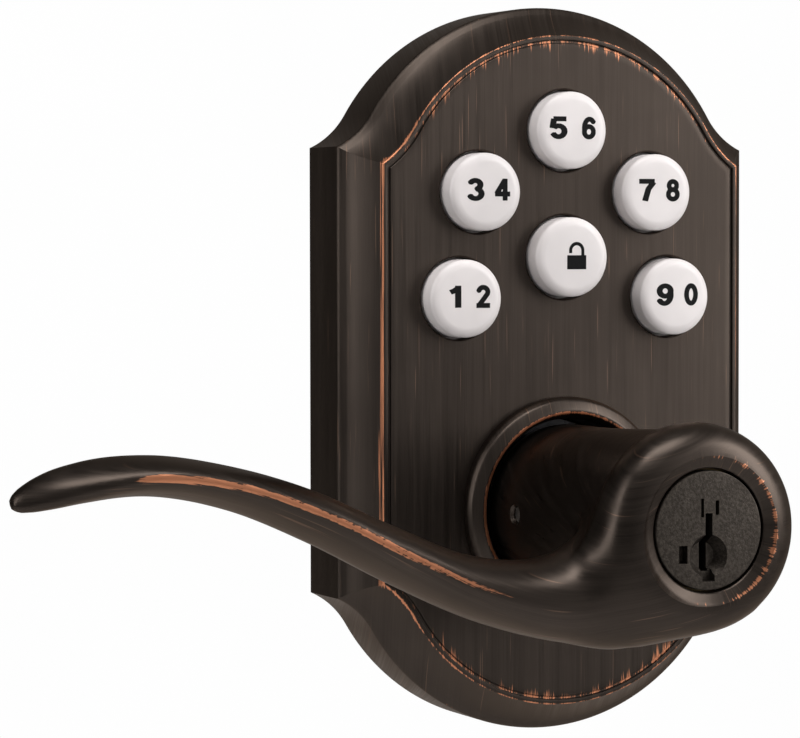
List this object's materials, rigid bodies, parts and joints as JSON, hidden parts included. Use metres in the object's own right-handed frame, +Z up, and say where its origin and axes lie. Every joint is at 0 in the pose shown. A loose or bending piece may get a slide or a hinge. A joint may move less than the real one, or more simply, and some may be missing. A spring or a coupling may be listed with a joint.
{
  "type": "keypad smart lock",
  "caption": "Outside half of a keypad door lock: arched escutcheon with push buttons, a keyed wave lever, and the parts that hold and drive it.",
  "frame": {"origin": "on the lever's axis, in the plane of the door's face, which is the middle of the door's cross bore", "axes": "+Z up, +X to the right for someone outside, +Y into the door, and the lock stands out along -Y"},
  "size_m": [0.1345, 0.1275, 0.114],
  "materials": {
    "bronze": "oil-rubbed bronze, satin, copper showing at the edges",
    "bronze_ring": "oil-rubbed bronze, satin, copper showing at the edges",
    "bronze_lever": "oil-rubbed bronze, satin, copper showing at the edges",
    "key_face": "fine-grained dark bronze",
    "button_white": "white with dark legends",
    "zinc_plated_steel": "zinc plated sheet",
    "screw_steel": "zinc plated, turned",
    "hub_steel": "machined steel",
    "spring_steel": "dark spring steel",
    "brass": "turned brass",
    "seal_rubber": "matt black",
    "silicone": "translucent silicone",
    "black_plastic": "fine texture",
    "ivory_plastic": "smooth",
    "board": "solder mask"
  },
  "bodies": {
    "housing": {"escutcheon": "bronze", "lever_collar": "bronze_ring", "gasket": "seal_rubber", "backplate": "zinc_plated_steel", "backplate_screws": "screw_steel", "mounting_posts": "screw_steel", "bearing_sleeve": "brass", "spring_cage": "zinc_plated_steel", "return_spring": "spring_steel", "cable_grommet": "seal_rubber", "button_guide": "black_plastic", "circuit_board": "board", "board_screws": "screw_steel", "controller_chip": "black_plastic", "buzzer": "black_plastic", "board_connector": "ivory_plastic", "dome_12": "silicone", "dome_34": "silicone", "dome_56": "silicone", "dome_78": "silicone", "dome_90": "silicone", "dome_lock": "silicone"},
    "lever": {"lever_handle": "bronze_lever", "drive_hub": "hub_steel", "hub_clip": "spring_steel", "spring_driver": "hub_steel", "spindle": "hub_steel", "cylinder_shell": "brass", "catch_spring": "spring_steel"},
    "catch": {"lever_catch": "hub_steel"},
    "key_cylinder": {"key_plug": "key_face", "key_pins": "brass", "sidebar": "brass", "plug_clip": "spring_steel", "tailpiece": "hub_steel"},
    "button_12": {"button_12": "button_white"},
    "button_34": {"button_34": "button_white"},
    "button_56": {"button_56": "button_white"},
    "button_78": {"button_78": "button_white"},
    "button_90": {"button_90": "button_white"},
    "button_lock": {"button_lock": "button_white"}
  },
  "joints": [
    {"name": "lever_turn", "type": "hinge", "parent": "housing", "child": "lever", "pos_m": [0, 0, 0], "axis": [0, 1, 0], "range_deg": [-50, 50], "stiffness_Nm_per_rad": 2, "springref_deg": 1.72, "deforming": ["return_spring"]},
    {"name": "catch_slide", "type": "slide", "parent": "lever", "child": "catch", "axis": [1, 0, 0], "range_m": [0, 0.0012], "stiffness_N_per_m": 600, "deforming": ["catch_spring"]},
    {"name": "key_turn", "type": "hinge", "parent": "lever", "child": "key_cylinder", "pos_m": [0, 0, 0], "axis": [0, 1, 0], "range_deg": [-90, 90]},
    {"name": "press_12", "type": "slide", "parent": "housing", "child": "button_12", "axis": [0, 1, 0], "range_m": [0, 0.0011], "stiffness_N_per_m": 1200, "deforming": ["dome_12"]},
    {"name": "press_34", "type": "slide", "parent": "housing", "child": "button_34", "axis": [0, 1, 0], "range_m": [0, 0.0011], "stiffness_N_per_m": 1200, "deforming": ["dome_34"]},
    {"name": "press_56", "type": "slide", "parent": "housing", "child": "button_56", "axis": [0, 1, 0], "range_m": [0, 0.0011], "stiffness_N_per_m": 1200, "deforming": ["dome_56"]},
    {"name": "press_78", "type": "slide", "parent": "housing", "child": "button_78", "axis": [0, 1, 0], "range_m": [0, 0.0011], "stiffness_N_per_m": 1200, "deforming": ["dome_78"]},
    {"name": "press_90", "type": "slide", "parent": "housing", "child": "button_90", "axis": [0, 1, 0], "range_m": [0, 0.0011], "stiffness_N_per_m": 1200, "deforming": ["dome_90"]},
    {"name": "press_lock", "type": "slide", "parent": "housing", "child": "button_lock", "axis": [0, 1, 0], "range_m": [0, 0.0011], "stiffness_N_per_m": 1200, "deforming": ["dome_lock"]}
  ]
}
